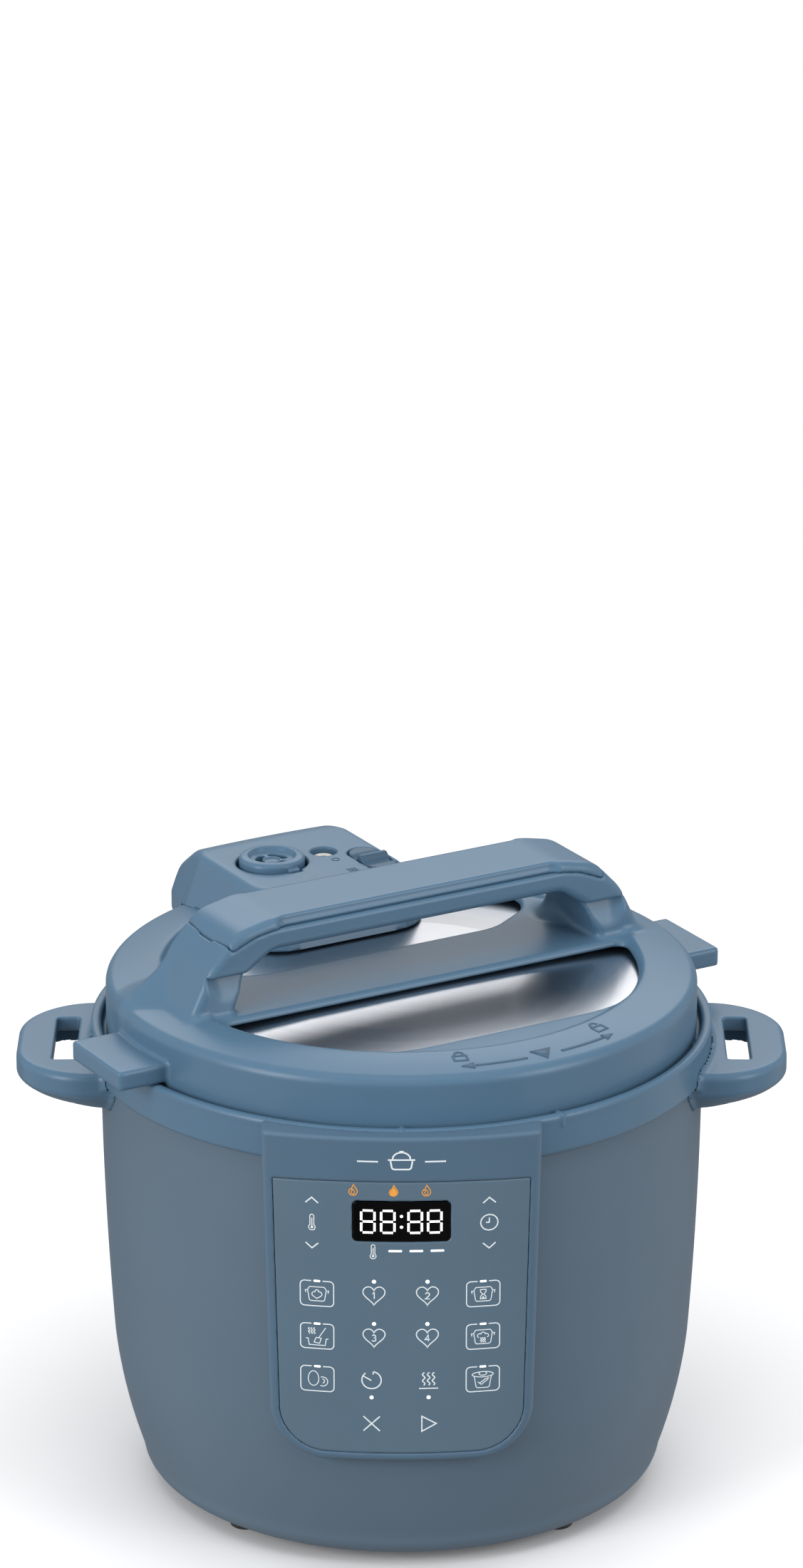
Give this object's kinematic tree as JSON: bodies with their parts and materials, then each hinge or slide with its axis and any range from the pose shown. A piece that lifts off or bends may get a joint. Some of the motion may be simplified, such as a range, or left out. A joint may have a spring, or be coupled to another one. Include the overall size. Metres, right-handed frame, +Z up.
{
  "type": "electric pressure cooker",
  "caption": "Round electric pressure cooker with a touch panel, a lift-out steel pot and a bayonet lid with a steam valve and rocker.",
  "frame": {"origin": "on the table under the cooker's vertical axis", "axes": "+Z up along the pot's axis, -Y towards the control panel, +X towards the right-hand handle"},
  "size_m": [0.308, 0.2623, 0.252],
  "materials": {
    "blue_plastic": "fine satin moulded plastic",
    "blue_dark_plastic": "satin moulded plastic, darker control parts",
    "panel_film": "smooth satin touch film with printed icons",
    "display_black": "glossy tinted window",
    "pot_steel": "mirror polished stainless steel",
    "brushed_steel": "brushed stainless steel",
    "ring_cast": "dark grey satin coated lock ring",
    "cavity_steel": "dark heat-stained chamber",
    "plate_aluminium": "turned cast aluminium",
    "zinc_steel": "zinc plated",
    "silicone": "translucent white silicone",
    "foot_rubber": "black rubber",
    "black_plastic": "black moulded plastic",
    "board_green": "solder resist",
    "ceramic": "off-white sleeve",
    "brass_nut": "plain brass"
  },
  "bodies": {
    "base": {"outer_shell": "blue_plastic", "top_collar": "blue_plastic", "handle_left": "blue_plastic", "handle_right": "blue_plastic", "handle_screws": "zinc_steel", "lock_ring": "ring_cast", "heat_chamber": "cavity_steel", "heating_plate": "plate_aluminium", "heating_element": "brushed_steel", "plate_spacers": "zinc_steel", "plate_screws": "zinc_steel", "sensor_housing": "brushed_steel", "sensor_spring": "zinc_steel", "thermal_fuse": "ceramic", "chamber_legs": "zinc_steel", "panel_housing": "blue_plastic", "control_overlay": "panel_film", "display_window": "display_black", "display_module": "black_plastic", "control_board": "board_green", "lid_sensor": "black_plastic", "power_board": "board_green", "board_parts": "black_plastic", "power_inlet": "black_plastic", "inlet_pins": "brushed_steel", "base_plate": "black_plastic", "base_screws": "zinc_steel", "feet": "foot_rubber"},
    "sensor": {"sensor_cap": "plate_aluminium"},
    "pot": {"inner_pot": "pot_steel", "pot_base": "brushed_steel"},
    "seal": {"sealing_ring": "silicone"},
    "lid": {"lid_cover": "blue_plastic", "lid_pan": "pot_steel", "handle_grip": "blue_plastic", "grip_screws": "zinc_steel", "lid_studs": "zinc_steel", "valve_block": "blue_plastic", "steam_pipe": "brushed_steel", "pipe_nut": "brass_nut", "anti_block_shield": "brushed_steel", "ring_rack": "brushed_steel", "float_guide": "brushed_steel", "rocker_pin": "zinc_steel"},
    "steam_valve": {"steam_cap": "blue_dark_plastic"},
    "float": {"float_valve": "brushed_steel", "float_seal": "silicone"},
    "rocker": {"release_rocker": "blue_dark_plastic", "vent_lever": "black_plastic"}
  },
  "joints": [
    {"name": "pot_lift", "type": "slide", "parent": "base", "child": "pot", "axis": [0, 0, 1], "range_m": [0, 0.143]},
    {"name": "lid_lift", "type": "slide", "parent": "pot", "child": "seal", "axis": [0, 0, 1], "range_m": [0, 0.13]},
    {"name": "lid_turn", "type": "hinge", "parent": "seal", "child": "lid", "pos_m": [0, 0, 0.2], "axis": [0, 0, -1], "range_deg": [0, 30]},
    {"name": "rocker_press", "type": "hinge", "parent": "lid", "child": "rocker", "pos_m": [-0.01176, 0.06977, 0.2315], "axis": [0.866, 0.5, 0], "range_deg": [0, 10]},
    {"name": "steam_cap_rise", "type": "slide", "parent": "lid", "child": "steam_valve", "axis": [0, 0, 1], "range_m": [0, 0.003]},
    {"name": "float_rise", "type": "slide", "parent": "lid", "child": "float", "axis": [0, 0, 1], "range_m": [0, 0.0045]},
    {"name": "sensor_press", "type": "slide", "parent": "base", "child": "sensor", "axis": [0, 0, 1], "range_m": [-0.003, 0], "stiffness_N_per_m": 400, "springref_m": 0.002, "deforming": ["sensor_spring"]}
  ],
  "couplings": [
    {"joint": "steam_cap_rise", "follows": "rocker_press", "m_per_rad": 0.0171}
  ]
}
